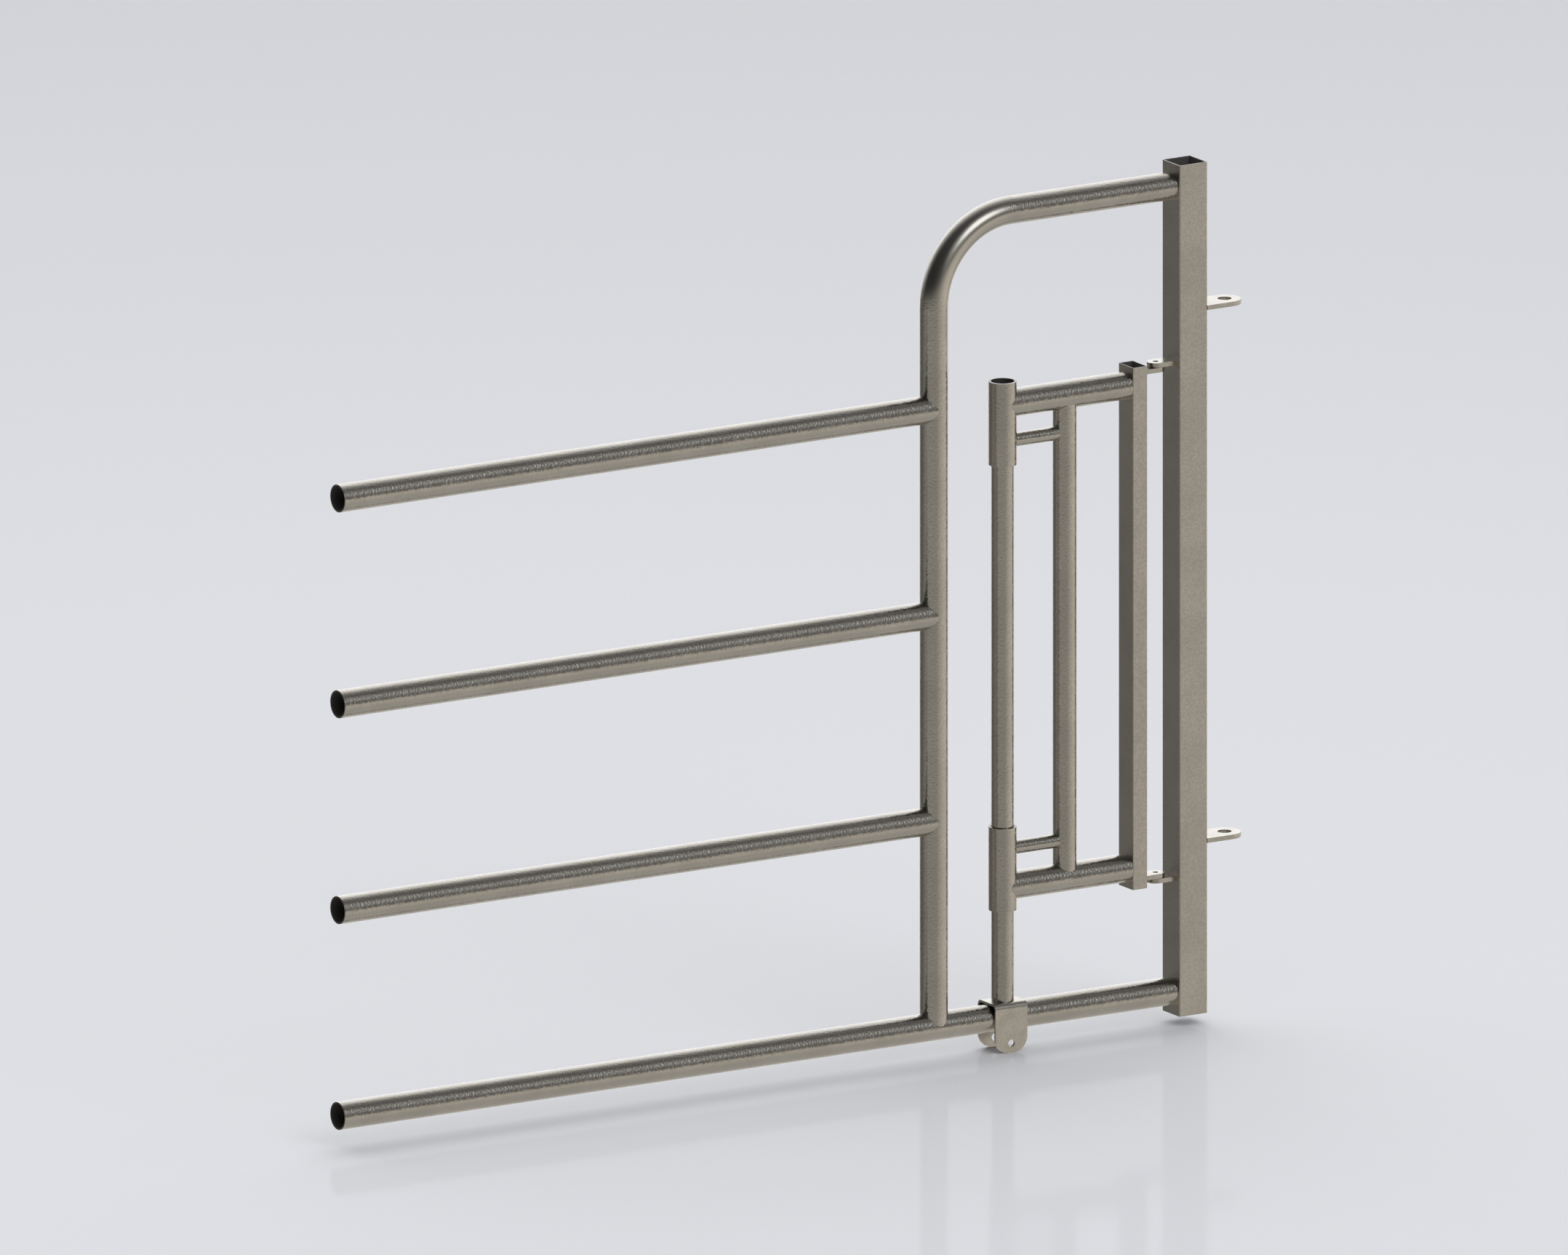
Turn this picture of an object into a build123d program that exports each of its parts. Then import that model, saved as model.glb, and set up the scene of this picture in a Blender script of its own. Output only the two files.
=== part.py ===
from build123d import *
import os

# Livestock pedestrian gate: a tubular barrier section whose bent upright and square post frame a
# narrow doorway. A small pass gate hinged on the post closes the doorway, and a drop bolt that
# slides in two sleeves on the gate straddles the bottom rail and holds the gate shut.
# Millimetres. X runs along the rails towards the post, Y away from the viewer, Z up.
# The origin is on the axis of the lower mounting lug's bore, at the lug's underside.

# Main tube and post
rail_diameter = 60.3
rail_wall = 3.2
post_side = 70.0
post_wall = 3.0
post_corner_radius = 3.0

# Barrier layout: the top bar is the level stretch of the upright, over the doorway
rail_reach = 1494.0
rail_pitch = 450.0
top_bar_rise = 410.0
upright_bend_radius = 190.0
post_overhang = 50.0
doorway_width = 564.0

# Mounting lugs on the post's outer face, one over the bottom rail and one under the top bar
mounting_lug_reach = 64.5
mounting_lug_width = 70.0
mounting_lug_thickness = 10.0
mounting_lug_bore = 30.0
lower_mounting_height = 321.0
upper_mounting_drop = 274.0

# Hinge between post and pass gate: each pair of lugs meets this far from its end of the stile
hinge_reach = 38.5
hinge_lug_width = 38.0
hinge_lug_thickness = 10.0
lower_hinge_inset = 13.5
upper_hinge_inset = 10.5
hinge_gap = 0.4
hinge_pin_diameter = 12.0
pin_seat_clearance = 0.02
pin_running_clearance = 0.05
pin_recess = 2.0

# Pass gate sections
stile_width = 36.0
stile_depth = 58.0
stile_wall = 2.0
stile_corner_radius = 2.0
mid_bar_diameter = 50.8
mid_bar_wall = 3.0
brace_diameter = 30.0
brace_wall = 2.6

# Pass gate layout: its bottom rail is set from the barrier's bottom rail, its top rail from the top one
gate_bottom_height = 283.5
gate_top_drop = 11.5
stile_overhang = 43.0
bolt_gap = 112.0
bolt_spacing = 155.5
brace_spacing = 82.0

# Drop bolt, its sleeves and its saddle over the bottom rail
bolt_diameter = 48.3
bolt_wall = 3.2
bolt_top_recess = 47.0
sleeve_clearance = 1.0
sleeve_wall = 5.0
sleeve_length = 182.0
sleeve_overhang = 50.0
saddle_thickness = 5.0
saddle_clearance = 0.5
saddle_fold_radius = 7.0
saddle_width = 80.0
saddle_foot_flat = 12.0
lock_hole_diameter = 16.0
lock_hole_drop = 22.0
lock_hole_edge = 20.5

# Fish-mouthed tube ends are ground back this far from the crossing tube's axis
cope_trim = 6.0

# Fits
pin_seat_bore = hinge_pin_diameter + 2 * pin_seat_clearance
pin_running_bore = hinge_pin_diameter + 2 * pin_running_clearance
sleeve_bore = bolt_diameter + 2 * sleeve_clearance
sleeve_diameter = sleeve_bore + 2 * sleeve_wall
saddle_inside = rail_diameter + 2 * saddle_clearance

# Places along X
post_right = -mounting_lug_reach
post_left = post_right - post_side
post_axis = post_left + post_side / 2
upright_x = post_left - doorway_width - rail_diameter / 2
rail_end_x = upright_x - rail_reach
hinge_x = post_left - hinge_reach
stile_right = hinge_x - hinge_reach
stile_left = stile_right - stile_width
bolt_x = upright_x + rail_diameter / 2 + bolt_gap + sleeve_diameter / 2
mid_bar_x = bolt_x + bolt_spacing

# Places along Z
bottom_rail_z = -lower_mounting_height
lower_rail_z = bottom_rail_z + rail_pitch
middle_rail_z = lower_rail_z + rail_pitch
top_rail_z = middle_rail_z + rail_pitch
top_bar_z = top_rail_z + top_bar_rise
post_foot = bottom_rail_z - post_overhang
post_top = top_bar_z + post_overhang
upper_mounting_z = top_bar_z - upper_mounting_drop
gate_bottom_z = bottom_rail_z + gate_bottom_height
gate_top_z = top_rail_z - gate_top_drop
stile_foot = gate_bottom_z - stile_overhang
stile_top = gate_top_z + stile_overhang
lower_sleeve_z = gate_bottom_z - sleeve_overhang
upper_sleeve_z = gate_top_z + sleeve_overhang - sleeve_length
bolt_top = upper_sleeve_z + sleeve_length - bolt_top_recess
saddle_underside = bottom_rail_z + rail_diameter / 2 + saddle_clearance
saddle_top = saddle_underside + saddle_thickness
lock_hole_z = bottom_rail_z - rail_diameter / 2 - lock_hole_drop
saddle_foot = lock_hole_z - lock_hole_edge

os.makedirs("parts", exist_ok=True)


def add_tube(start, direction, diameter, wall, length):
    """Extrude a round tube from a point into the part being built."""
    with BuildSketch(Plane(origin=start, z_dir=direction)) as ring:
        Circle(diameter / 2)
        Circle(diameter / 2 - wall, mode=Mode.SUBTRACT)
    extrude(ring.sketch, amount=length)


def add_box_tube(place, width, depth, wall, corner_radius, length):
    """Extrude an upright rectangular tube from a point into the part being built."""
    with BuildSketch(Plane(origin=place)) as section:
        RectangleRounded(width, depth, corner_radius)
        Rectangle(width - 2 * wall, depth - 2 * wall, mode=Mode.SUBTRACT)
    extrude(section.sketch, amount=length)


def add_lug(face_x, bore_x, underside, width, thickness, bore):
    """Extrude a flat lug, square against a face and rounded about its bore, into the part being built."""
    with BuildSketch(Plane.XY.offset(underside)) as outline:
        with Locations(((face_x + bore_x) / 2, 0)):
            Rectangle(abs(bore_x - face_x), width)
        with Locations((bore_x, 0)):
            Circle(width / 2)
            Circle(bore / 2, mode=Mode.SUBTRACT)
    extrude(outline.sketch, amount=thickness)


def cope_on_upright_tube(x, z, diameter):
    """Fish-mouth the part being built against a tube that stands upright."""
    with Locations((x, 0, z)):
        Cylinder(diameter / 2, 4 * diameter, mode=Mode.SUBTRACT)


def cope_on_level_tube(x, z, diameter):
    """Fish-mouth the part being built against a tube that lies along X."""
    with Locations(Location((x, 0, z), (0, 90, 0))):
        Cylinder(diameter / 2, 4 * diameter, mode=Mode.SUBTRACT)


def save(piece, name):
    """Label a finished piece and write its STEP file."""
    piece.part.label = name
    export_step(piece.part, f"parts/{name}.step")


# Square post, open at both ends
with BuildPart() as main_post:
    add_box_tube(
        (post_axis, 0, post_foot),
        post_side,
        post_side,
        post_wall,
        post_corner_radius,
        post_top - post_foot,
    )
save(main_post, "main_post")

# Bent upright: it stands on the bottom rail, bends over the doorway and runs into the post
with BuildPart() as bent_upright:
    foot_z = bottom_rail_z + cope_trim
    with BuildLine(Plane.XZ) as upright_path:
        FilletPolyline(
            (upright_x, foot_z),
            (upright_x, top_bar_z),
            (post_left, top_bar_z),
            radius=upright_bend_radius,
        )
    with BuildSketch(Plane(origin=(upright_x, 0, foot_z))):
        Circle(rail_diameter / 2)
        Circle(rail_diameter / 2 - rail_wall, mode=Mode.SUBTRACT)
    sweep()
    cope_on_level_tube(upright_x, bottom_rail_z, rail_diameter)
save(bent_upright, "bent_upright")

# Bottom rail: it runs under the upright and the doorway to the post
with BuildPart() as bottom_rail:
    add_tube(
        (rail_end_x, 0, bottom_rail_z), (1, 0, 0), rail_diameter, rail_wall, post_left - rail_end_x
    )
save(bottom_rail, "bottom_rail")

# Upper rails: open at their far ends, fish-mouthed against the upright
for name, rail_z in [
    ("lower_rail", lower_rail_z),
    ("middle_rail", middle_rail_z),
    ("top_rail", top_rail_z),
]:
    with BuildPart() as upper_rail:
        add_tube(
            (rail_end_x, 0, rail_z), (1, 0, 0), rail_diameter, rail_wall, rail_reach - cope_trim
        )
        cope_on_upright_tube(upright_x, rail_z, rail_diameter)
    save(upper_rail, name)

# Mounting lugs, whose bores share one upright axis
for name, underside in [("lower_mounting_lug", 0), ("upper_mounting_lug", upper_mounting_z)]:
    with BuildPart() as mounting_lug:
        add_lug(
            post_right,
            0,
            underside,
            mounting_lug_width,
            mounting_lug_thickness,
            mounting_lug_bore,
        )
    save(mounting_lug, name)

# Hinge lugs and pins. The post's lug is under the gate's at the lower hinge, where it carries the
# gate, and over it at the upper hinge, where it stops the gate being lifted off.
for level, meeting_z, post_lug_over in [
    ("lower", stile_foot + lower_hinge_inset, False),
    ("upper", stile_top - upper_hinge_inset, True),
]:
    over_z = meeting_z + hinge_gap / 2
    under_z = meeting_z - hinge_gap / 2 - hinge_lug_thickness
    post_lug_z = over_z if post_lug_over else under_z
    gate_lug_z = under_z if post_lug_over else over_z
    with BuildPart() as post_hinge_lug:
        add_lug(
            post_left, hinge_x, post_lug_z, hinge_lug_width, hinge_lug_thickness, pin_seat_bore
        )
    save(post_hinge_lug, f"{level}_post_hinge_lug")
    with BuildPart() as gate_hinge_lug:
        add_lug(
            stile_right, hinge_x, gate_lug_z, hinge_lug_width, hinge_lug_thickness, pin_running_bore
        )
    save(gate_hinge_lug, f"{level}_gate_hinge_lug")
    with BuildPart() as hinge_pin:
        with BuildSketch(Plane(origin=(hinge_x, 0, under_z + pin_recess))):
            Circle(hinge_pin_diameter / 2)
        extrude(amount=2 * hinge_lug_thickness + hinge_gap - 2 * pin_recess)
    save(hinge_pin, f"{level}_hinge_pin")

# Hinge stile of the pass gate, open at both ends
with BuildPart() as hinge_stile:
    add_box_tube(
        ((stile_left + stile_right) / 2, 0, stile_foot),
        stile_width,
        stile_depth,
        stile_wall,
        stile_corner_radius,
        stile_top - stile_foot,
    )
save(hinge_stile, "hinge_stile")

# Gate rails: square against the stile, fish-mouthed against the bolt sleeves
for name, rail_z in [("gate_bottom_rail", gate_bottom_z), ("gate_top_rail", gate_top_z)]:
    start_x = bolt_x + cope_trim
    with BuildPart() as gate_rail:
        add_tube(
            (start_x, 0, rail_z), (1, 0, 0), rail_diameter, rail_wall, stile_left - start_x
        )
        cope_on_upright_tube(bolt_x, rail_z, sleeve_diameter)
    save(gate_rail, name)

# Mid bar between the gate rails
with BuildPart() as gate_mid_bar:
    add_tube(
        (mid_bar_x, 0, gate_bottom_z + cope_trim),
        (0, 0, 1),
        mid_bar_diameter,
        mid_bar_wall,
        gate_top_z - gate_bottom_z - 2 * cope_trim,
    )
    cope_on_level_tube(mid_bar_x, gate_bottom_z, rail_diameter)
    cope_on_level_tube(mid_bar_x, gate_top_z, rail_diameter)
save(gate_mid_bar, "gate_mid_bar")

# Sleeves that guide the drop bolt
for name, sleeve_z in [("lower_bolt_sleeve", lower_sleeve_z), ("upper_bolt_sleeve", upper_sleeve_z)]:
    with BuildPart() as bolt_sleeve:
        add_tube((bolt_x, 0, sleeve_z), (0, 0, 1), sleeve_diameter, sleeve_wall, sleeve_length)
    save(bolt_sleeve, name)

# Short braces that tie each sleeve to the mid bar
for name, brace_z in [
    ("lower_sleeve_brace", gate_bottom_z + brace_spacing),
    ("upper_sleeve_brace", gate_top_z - brace_spacing),
]:
    with BuildPart() as sleeve_brace:
        add_tube((bolt_x, 0, brace_z), (1, 0, 0), brace_diameter, brace_wall, bolt_spacing)
        cope_on_upright_tube(bolt_x, brace_z, sleeve_diameter)
        cope_on_upright_tube(mid_bar_x, brace_z, mid_bar_diameter)
    save(sleeve_brace, name)

# Drop bolt tube, standing on the saddle and ending inside the upper sleeve
with BuildPart() as drop_bolt_tube:
    add_tube((bolt_x, 0, saddle_top), (0, 0, 1), bolt_diameter, bolt_wall, bolt_top - saddle_top)
save(drop_bolt_tube, "drop_bolt_tube")

# Folded saddle: its ears hang down past the bottom rail, with a lock hole under the rail
with BuildPart() as drop_bolt_saddle:
    with BuildSketch(Plane.YZ.offset(bolt_x - saddle_width / 2)):
        with BuildLine():
            inner_fold = FilletPolyline(
                (-saddle_inside / 2, saddle_foot),
                (-saddle_inside / 2, saddle_underside),
                (saddle_inside / 2, saddle_underside),
                (saddle_inside / 2, saddle_foot),
                radius=saddle_fold_radius,
            )
            offset(inner_fold, amount=saddle_thickness, side=Side.LEFT)
        make_face()
    extrude(amount=saddle_width)
    ear_corners = drop_bolt_saddle.edges().filter_by(Axis.Y).group_by(Axis.Z)[0]
    fillet(ear_corners, (saddle_width - saddle_foot_flat) / 2)
    with Locations(Location((bolt_x, 0, lock_hole_z), (90, 0, 0))):
        Hole(lock_hole_diameter / 2)
save(drop_bolt_saddle, "drop_bolt_saddle")
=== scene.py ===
import math

import bpy
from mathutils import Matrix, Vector


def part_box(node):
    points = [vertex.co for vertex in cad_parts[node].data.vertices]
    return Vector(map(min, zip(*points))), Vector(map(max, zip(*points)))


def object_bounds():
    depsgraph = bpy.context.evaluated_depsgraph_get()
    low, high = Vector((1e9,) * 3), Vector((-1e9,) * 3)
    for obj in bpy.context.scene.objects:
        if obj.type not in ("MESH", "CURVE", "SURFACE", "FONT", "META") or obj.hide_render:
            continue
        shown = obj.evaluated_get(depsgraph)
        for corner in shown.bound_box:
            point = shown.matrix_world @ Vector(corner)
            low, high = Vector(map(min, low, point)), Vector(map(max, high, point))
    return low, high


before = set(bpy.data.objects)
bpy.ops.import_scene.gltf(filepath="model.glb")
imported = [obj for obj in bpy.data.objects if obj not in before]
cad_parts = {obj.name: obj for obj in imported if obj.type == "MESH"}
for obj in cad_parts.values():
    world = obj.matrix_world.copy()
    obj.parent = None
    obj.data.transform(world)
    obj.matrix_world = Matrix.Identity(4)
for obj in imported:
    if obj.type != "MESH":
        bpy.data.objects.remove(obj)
cad_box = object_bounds()

x_axis = (1, 0, 0)
z_axis = (0, 0, 1)

# The photograph's view: orthographic, from the front left and a little above. Degrees and metres.
view_azimuth = -32.1
view_elevation = 13.87
view_width = 3.3292
view_shift_right = -0.3181
view_shift_up = 0.8465
camera_distance = 12.0

# Satin steel, as linear colours. Each finish runs between its dark and its light tone.
tube_dark = (0.395, 0.372, 0.332, 1)
tube_light = (0.445, 0.42, 0.375, 1)
section_dark = (0.431, 0.404, 0.358, 1)
section_light = (0.483, 0.453, 0.402, 1)
plate_dark = (0.412, 0.388, 0.346, 1)
plate_light = (0.469, 0.443, 0.396, 1)
pin_dark = (0.40, 0.39, 0.37, 1)
pin_light = (0.58, 0.57, 0.54, 1)
worn_edge = (0.44, 0.417, 0.374, 1)
sawn_end = (0.18, 0.17, 0.153, 1)
tube_inside = (0.06, 0.056, 0.05, 1)
section_inside = (0.12, 0.112, 0.10, 1)

# Share of the dark tone where the grain is highest.
grain_darkening = 0.5

# Roughness of the finishes, from the low to the high end of their grain or rings.
tube_roughness = (0.2, 0.27)
section_roughness = (0.28, 0.4)
plate_roughness = (0.24, 0.34)
pin_roughness = (0.2, 0.3)
bend_roughness = 0.23
inside_roughness = 0.6

# Sizes of what shows in the finishes, in metres.
cloud_size = 0.09
plate_cloud_size = 0.03
tube_grain = 0.0045
tube_grain_depth = 0.00036
section_grain = 0.0045
section_grain_depth = 0.00016
plate_grain = 0.005
plate_grain_depth = 0.00013
turning_pitch = 0.0009
turning_depth = 0.00004
edge_radius = 0.0005
bend_radius = 0.19
bend_fade = 0.04

# Finer octaves in each noise, and the range that most of a noise's values fall in.
cloud_detail = 4.0
grain_detail = 0.0
plate_grain_detail = 2.0
noise_low = 0.3
noise_high = 0.7

# Where the masks start and where they are full: worn edges by the cosine between the true and the
# rounded normal, sawn ends by the squared cosine between normal and axis. An inner wall's normal
# points to the middle of the piece, by at least the margin.
edge_samples = 6
edge_limits = (0.985, 0.85)
end_limits = (0.9, 0.98)
inside_margin = 0.02

# The studio, as radiances: 1 is the brightness of a white card.
front_panel = (2.38, 2.455, 2.57, 1)
front_glow = (0.33, 0.33, 0.33, 1)
rear_panel = (1.72, 1.735, 1.78, 1)
rear_glow = (0.75, 0.757, 0.775, 1)
left_dome = (0.04, 0.04, 0.04, 1)
right_dome = (0.185, 0.185, 0.185, 1)
rear_ground = (0.168, 0.165, 0.16, 1)
front_ground = (0.512, 0.502, 0.469, 1)
right_ground = (0.985, 0.925, 0.845, 1)
near_ground = (0.66, 0.65, 0.62, 1)
behind_ground = (0.80, 0.77, 0.72, 1)
backdrop = (0.80, 0.81, 0.83, 1)

# Places in the studio, as azimuth and elevation in degrees. A patch of light is full within the
# first angle of its reach and gone beyond the second.
front_place = (8.4, 32.2)
front_panel_reach = (9.5, 21.3)
front_glow_reach = (28, 35)
rear_place = (152, 17.5)
rear_panel_reach = (10, 52)
rear_glow_reach = (25, 81)
behind_ground_place = (148, -20)
behind_ground_reach = (15, 45)
right_dome_place = (90, 0)
front_ground_place = (20, 0)
right_ground_place = (85, 0)

# Where the other tones start and where they are full: the first three by the cosine between ray
# and place, the last two by the ray's rise.
right_dome_change = (-1.0, 1.0)
front_ground_change = (-0.95, -0.35)
right_ground_change = (0.0, 0.87)
near_ground_change = (-0.25, -0.6)
sky_change = (-0.2, 0.06)

# The floor and the lamp over it.
floor_colour = (0.88, 0.888, 0.915, 1)
floor_half_width = 40.0
floor_gloss = 0.04
floor_gloss_roughness = 0.08
overhead_watts = 550.0
overhead_size = 20.0
overhead_height = 10.0


def toward(azimuth, elevation):
    """Unit vector from the gate. Azimuth 0 is its front and grows to the right."""
    turn = math.radians(azimuth)
    rise = math.radians(elevation)
    level = math.cos(rise)
    return Vector((math.sin(turn) * level, -math.cos(turn) * level, math.sin(rise)))


def add_node(tree, kind, **settings):
    """A new node of the tree, with its settings."""
    node = tree.nodes.new(kind)
    for name, value in settings.items():
        setattr(node, name, value)
    return node


def feed(tree, socket, value):
    """Links an output to a socket, or sets a constant on it."""
    if isinstance(value, bpy.types.NodeSocket):
        tree.links.new(value, socket)
    else:
        socket.default_value = value


def noise(tree, point, size, detail):
    """Soft blotches about as large as size, from 0 to 1."""
    node = add_node(tree, "ShaderNodeTexNoise")
    feed(tree, node.inputs["Vector"], point)
    feed(tree, node.inputs["Scale"], 1 / size)
    feed(tree, node.inputs["Detail"], detail)
    return node.outputs["Fac"]


def fade(tree, value, start, end, low=0.0, high=1.0, kind="SMOOTHSTEP"):
    """Goes from low, where the value is at start, to high, where it is at end, and stays there."""
    node = add_node(tree, "ShaderNodeMapRange", interpolation_type=kind)
    feed(tree, node.inputs["Value"], value)
    feed(tree, node.inputs["From Min"], start)
    feed(tree, node.inputs["From Max"], end)
    feed(tree, node.inputs["To Min"], low)
    feed(tree, node.inputs["To Max"], high)
    return node.outputs["Result"]


def combine(tree, operation, *values):
    """Result of a math operation on one value or two."""
    node = add_node(tree, "ShaderNodeMath", operation=operation)
    for socket, value in zip(node.inputs, values):
        feed(tree, socket, value)
    return node.outputs["Value"]


def along(tree, vector, direction):
    """Dot product: how far the vector reaches along the direction."""
    node = add_node(tree, "ShaderNodeVectorMath", operation="DOT_PRODUCT")
    feed(tree, node.inputs[0], vector)
    feed(tree, node.inputs[1], direction)
    return node.outputs["Value"]


def blend(tree, share, first, second):
    """First colour where the share is 0, second where it is 1."""
    node = add_node(tree, "ShaderNodeMix", data_type="RGBA")
    feed(tree, node.inputs["Factor"], share)
    # The colour sockets go by number, because the node has others with the same names.
    feed(tree, node.inputs[6], first)
    feed(tree, node.inputs[7], second)
    return node.outputs[2]


def cloudy(tree, point, size, dark, light):
    """Colour that drifts between a dark and a light tone."""
    cloud = noise(tree, point, size, cloud_detail)
    return blend(tree, fade(tree, cloud, noise_low, noise_high), dark, light)


def grain_sheen(tree, grain, roughness):
    """Roughness that follows the grain from its low to its high end."""
    return fade(tree, grain, noise_low, noise_high, *roughness)


def edge_wear(tree):
    """Rounded normal along sharp edges, and a mask that is 1 on the edge itself."""
    rounded = add_node(tree, "ShaderNodeBevel", samples=edge_samples)
    feed(tree, rounded.inputs["Radius"], edge_radius)
    surface = add_node(tree, "ShaderNodeNewGeometry")
    same = along(tree, rounded.outputs["Normal"], surface.outputs["Normal"])
    return rounded.outputs["Normal"], fade(tree, same, *edge_limits)


def bump(tree, height, depth, normal):
    """Normal of a surface that is raised by the depth where the height is 1."""
    node = add_node(tree, "ShaderNodeBump")
    feed(tree, node.inputs["Strength"], 1.0)
    feed(tree, node.inputs["Distance"], depth)
    feed(tree, node.inputs["Height"], height)
    feed(tree, node.inputs["Normal"], normal)
    return node.outputs["Normal"]


def steel(name):
    """A new metal material, with its tree, shader and the point in the piece's own frame."""
    material = bpy.data.materials.new(name)
    material.use_nodes = True
    tree = material.node_tree
    shader = tree.nodes["Principled BSDF"]
    shader.inputs["Metallic"].default_value = 1.0
    point = add_node(tree, "ShaderNodeTexCoord").outputs["Object"]
    return material, tree, shader, point


def ends_and_inside(tree, axis):
    """Masks of a straight hollow piece along the axis: 1 on its sawn ends, 1 on its inner wall."""
    place = add_node(tree, "ShaderNodeTexCoord")
    facing = along(tree, place.outputs["Normal"], axis)
    ends = fade(tree, combine(tree, "MULTIPLY", facing, facing), *end_limits)
    from_middle = add_node(tree, "ShaderNodeVectorMath", operation="SUBTRACT")
    feed(tree, from_middle.inputs[0], place.outputs["Generated"])
    feed(tree, from_middle.inputs[1], (0.5, 0.5, 0.5))
    outward = along(tree, from_middle.outputs["Vector"], place.outputs["Normal"])
    return ends, fade(tree, outward, inside_margin, -inside_margin)


def finish_hollow(tree, shader, axis, tone, sheen, inside_tone):
    """Gives a straight hollow piece its tone and sheen, dark sawn ends and a dull inside."""
    ends, inside = ends_and_inside(tree, axis)
    tone = blend(tree, inside, blend(tree, ends, tone, sawn_end), inside_tone)
    sheen = fade(tree, inside, 0.0, 1.0, sheen, inside_roughness)
    feed(tree, shader.inputs["Base Color"], tone)
    feed(tree, shader.inputs["Metallic"], fade(tree, inside, 1.0, 0.0))
    feed(tree, shader.inputs["Roughness"], sheen)


def straight_share(tree, point):
    """0 on the bend of the bent upright, 1 on its two straight runs."""
    low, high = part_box("bent_upright")
    tube_radius = high.y
    level_start = low.x + tube_radius + bend_radius
    upright_top = high.z - tube_radius - bend_radius
    across = along(tree, point, x_axis)
    height = along(tree, point, z_axis)
    level = fade(tree, across, level_start - bend_fade, level_start)
    upright = fade(tree, height, upright_top + bend_fade, upright_top)
    return combine(tree, "MAXIMUM", level, upright)


def tube_finish(tree, tone, grain):
    """The tone, darker where the grain is high, with worn edges, and the grained normal."""
    normal, edge = edge_wear(tree)
    tone = blend(tree, combine(tree, "MULTIPLY", grain, grain_darkening), tone, tube_dark)
    return blend(tree, edge, tone, worn_edge), bump(tree, grain, tube_grain_depth, normal)


def straight_tube_steel(name, axis):
    """Drawn tube: cloudy tone, a finely grained sheen, sawn ends and a dull inside."""
    material, tree, shader, point = steel(name)
    grain = noise(tree, point, tube_grain, grain_detail)
    tone = cloudy(tree, point, cloud_size, tube_dark, tube_light)
    tone, normal = tube_finish(tree, tone, grain)
    sheen = grain_sheen(tree, grain, tube_roughness)
    finish_hollow(tree, shader, axis, tone, sheen, tube_inside)
    feed(tree, shader.inputs["Normal"], normal)
    return material


def bent_tube_steel():
    """The same tube, smooth where it was bent, with the light tone painted over the bend as a
    painted highlight.
    """
    material, tree, shader, point = steel("bent_tube_steel")
    grain = noise(tree, point, tube_grain, grain_detail)
    straight = straight_share(tree, point)
    tone = cloudy(tree, point, cloud_size, tube_dark, tube_light)
    # Painted highlight: the bend takes the light tone all over, so its streak of reflected light
    # shows brighter.
    tone = blend(tree, straight, tube_light, tone)
    tone, normal = tube_finish(tree, tone, combine(tree, "MULTIPLY", straight, grain))
    sheen = grain_sheen(tree, grain, tube_roughness)
    sheen = fade(tree, straight, 0.0, 1.0, bend_roughness, sheen)
    feed(tree, shader.inputs["Base Color"], tone)
    feed(tree, shader.inputs["Roughness"], sheen)
    feed(tree, shader.inputs["Normal"], normal)
    return material


def section_steel():
    """Box section: mill finish with a fine even mottle, sawn ends and a dull inside."""
    material, tree, shader, point = steel("section_steel")
    grain = noise(tree, point, section_grain, grain_detail)
    normal, edge = edge_wear(tree)
    tone = cloudy(tree, point, cloud_size, section_dark, section_light)
    tone = blend(tree, combine(tree, "MULTIPLY", grain, grain_darkening), tone, section_dark)
    tone = blend(tree, edge, tone, worn_edge)
    sheen = grain_sheen(tree, grain, section_roughness)
    finish_hollow(tree, shader, z_axis, tone, sheen, section_inside)
    feed(tree, shader.inputs["Normal"], bump(tree, grain, section_grain_depth, normal))
    return material


def plate_steel():
    """Cut plate: brighter than the tubes, with rubbed edges."""
    material, tree, shader, point = steel("plate_steel")
    grain = noise(tree, point, plate_grain, plate_grain_detail)
    normal, edge = edge_wear(tree)
    tone = cloudy(tree, point, plate_cloud_size, plate_dark, plate_light)
    feed(tree, shader.inputs["Base Color"], blend(tree, edge, tone, worn_edge))
    feed(tree, shader.inputs["Roughness"], grain_sheen(tree, grain, plate_roughness))
    feed(tree, shader.inputs["Normal"], bump(tree, grain, plate_grain_depth, normal))
    return material


def pin_steel():
    """Turned pin: fine rings around its axis."""
    material, tree, shader, point = steel("pin_steel")
    phase = along(tree, point, (0, 0, 2 * math.pi / turning_pitch))
    ring = fade(tree, combine(tree, "SINE", phase), -1.0, 1.0)
    normal, edge = edge_wear(tree)
    tone = blend(tree, ring, pin_dark, pin_light)
    feed(tree, shader.inputs["Base Color"], blend(tree, edge, tone, worn_edge))
    feed(tree, shader.inputs["Roughness"], fade(tree, ring, 0.0, 1.0, *pin_roughness))
    feed(tree, shader.inputs["Normal"], bump(tree, ring, turning_depth, normal))
    return material


def dress_nodes():
    """Gives each CAD node the finish of its slot in the record, and each tube that of its run."""
    finishes = {"section": section_steel(), "plate": plate_steel(), "pin": pin_steel()}
    level_tube = straight_tube_steel("level_tube_steel", x_axis)
    upright_tube = straight_tube_steel("upright_tube_steel", z_axis)
    bent_tube = bent_tube_steel()
    for name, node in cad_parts.items():
        low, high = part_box(name)
        if name == "bent_upright":
            tube = bent_tube
        elif high.x - low.x > high.z - low.z:
            tube = level_tube
        else:
            tube = upright_tube
        for place in node.material_slots:
            place.material = finishes.get(place.material.name, tube)


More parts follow.
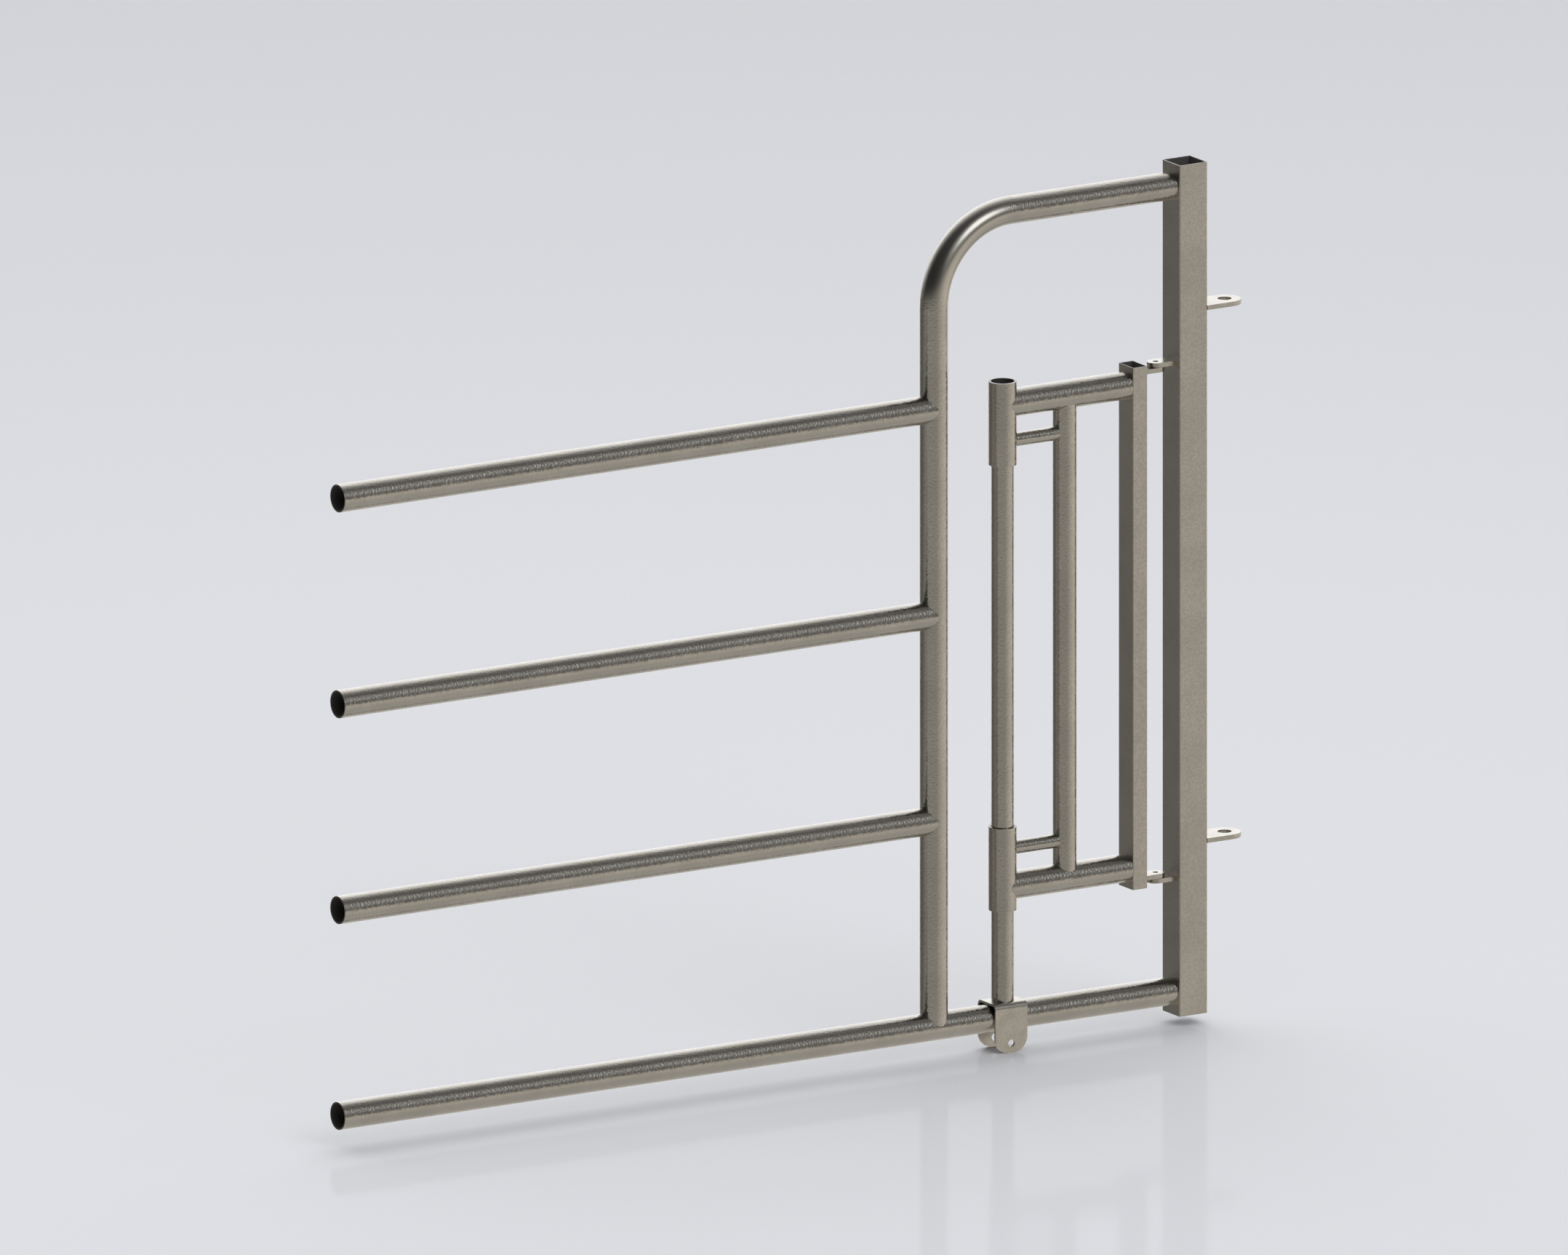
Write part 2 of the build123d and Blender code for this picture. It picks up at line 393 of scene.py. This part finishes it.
def floor_material():
    """Matt and pale, with a faint gloss."""
    material = bpy.data.materials.new("floor")
    material.use_nodes = True
    tree = material.node_tree
    tree.nodes.remove(tree.nodes["Principled BSDF"])
    matt = add_node(tree, "ShaderNodeBsdfDiffuse")
    feed(tree, matt.inputs["Color"], floor_colour)
    shine = add_node(tree, "ShaderNodeBsdfGlossy")
    feed(tree, shine.inputs["Roughness"], floor_gloss_roughness)
    both = add_node(tree, "ShaderNodeMixShader")
    feed(tree, both.inputs[0], floor_gloss)
    feed(tree, both.inputs[1], matt.outputs["BSDF"])
    feed(tree, both.inputs[2], shine.outputs["BSDF"])
    feed(tree, tree.nodes["Material Output"].inputs["Surface"], both.outputs["Shader"])
    return material


def make_floor():
    """Level with the lowest point of the gate, and wide enough to fill the view."""
    mesh = bpy.data.meshes.new("floor")
    level = cad_box[0].z
    reach = floor_half_width
    corners = [
        (-reach, -reach, level),
        (reach, -reach, level),
        (reach, reach, level),
        (-reach, reach, level),
    ]
    mesh.from_pydata(corners, [], [(0, 1, 2, 3)])
    mesh.materials.append(floor_material())
    floor = bpy.data.objects.new("floor", mesh)
    bpy.context.scene.collection.objects.link(floor)
    # The metal mirrors the studio's lower half, not the lit floor.
    floor.visible_glossy = False


def patch(tree, ray, place, reach):
    """Patch of light around a place: 1 in its middle, 0 outside its reach."""
    inner, outer = (math.cos(math.radians(angle)) for angle in reach)
    return fade(tree, along(tree, ray, toward(*place)), outer, inner)


def side(tree, ray, place, change):
    """Grows evenly from 0 to 1 as the ray turns towards a place."""
    return fade(tree, along(tree, ray, toward(*place)), *change, kind="LINEAR")


def studio_sky(tree, ray):
    """Dark dome, lighter on the right, with a bright panel and its glow in front and behind."""
    right_share = side(tree, ray, right_dome_place, right_dome_change)
    sky = blend(tree, right_share, left_dome, right_dome)
    sky = blend(tree, patch(tree, ray, rear_place, rear_glow_reach), sky, rear_glow)
    sky = blend(tree, patch(tree, ray, rear_place, rear_panel_reach), sky, rear_panel)
    sky = blend(tree, patch(tree, ray, front_place, front_glow_reach), sky, front_glow)
    return blend(tree, patch(tree, ray, front_place, front_panel_reach), sky, front_panel)


def studio_ground(tree, ray, rise):
    """Dim at the rear left and bright on the right, with other tones near the gate and behind."""
    front_share = side(tree, ray, front_ground_place, front_ground_change)
    right_share = side(tree, ray, right_ground_place, right_ground_change)
    behind_share = patch(tree, ray, behind_ground_place, behind_ground_reach)
    ground = blend(tree, front_share, rear_ground, front_ground)
    ground = blend(tree, right_share, ground, right_ground)
    ground = blend(tree, fade(tree, rise, *near_ground_change), ground, near_ground)
    return blend(tree, behind_share, ground, behind_ground)


def make_studio():
    """World light that the metal mirrors. The camera sees a plain pale backdrop in its place."""
    world = bpy.data.worlds.new("studio")
    bpy.context.scene.world = world
    world.use_nodes = True
    tree = world.node_tree
    ray = add_node(tree, "ShaderNodeTexCoord").outputs["Generated"]
    rise = along(tree, ray, z_axis)
    sky_share = fade(tree, rise, *sky_change)
    studio = blend(tree, sky_share, studio_ground(tree, ray, rise), studio_sky(tree, ray))
    seen = add_node(tree, "ShaderNodeLightPath").outputs["Is Camera Ray"]
    feed(tree, tree.nodes["Background"].inputs["Color"], blend(tree, seen, studio, backdrop))


def make_overhead_lamp():
    """Lights the floor and gives the soft shadow. The metal doesn't mirror it."""
    lamp = bpy.data.objects.new("overhead", bpy.data.lights.new("overhead", "AREA"))
    lamp.data.shape = "DISK"
    lamp.data.size = overhead_size
    lamp.data.energy = overhead_watts
    middle = (cad_box[0] + cad_box[1]) / 2
    lamp.location = (middle.x, middle.y, cad_box[0].z + overhead_height)
    lamp.visible_camera = False
    lamp.visible_glossy = False
    bpy.context.scene.collection.objects.link(lamp)


def make_camera():
    """Aims at the foot of the bent upright, shifted to the photograph's framing."""
    camera = bpy.data.objects.new("camera", bpy.data.cameras.new("camera"))
    camera.data.type = "ORTHO"
    camera.data.ortho_scale = view_width
    back = toward(view_azimuth, view_elevation)
    turn = back.to_track_quat("Z", "Y")
    upright_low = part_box("bent_upright")[0]
    rail_low, rail_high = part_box("bottom_rail")
    tube_radius = (rail_high.z - rail_low.z) / 2
    foot = Vector((upright_low.x + tube_radius, 0, rail_low.z + tube_radius))
    aim = foot + turn @ Vector((view_shift_right, view_shift_up, 0))
    camera.rotation_mode = "QUATERNION"
    camera.rotation_quaternion = turn
    camera.location = aim + camera_distance * back
    bpy.context.scene.collection.objects.link(camera)
    bpy.context.scene.camera = camera


dress_nodes()
make_floor()
make_studio()
make_overhead_lamp()
make_camera()
bpy.context.scene.view_settings.view_transform = "Standard"
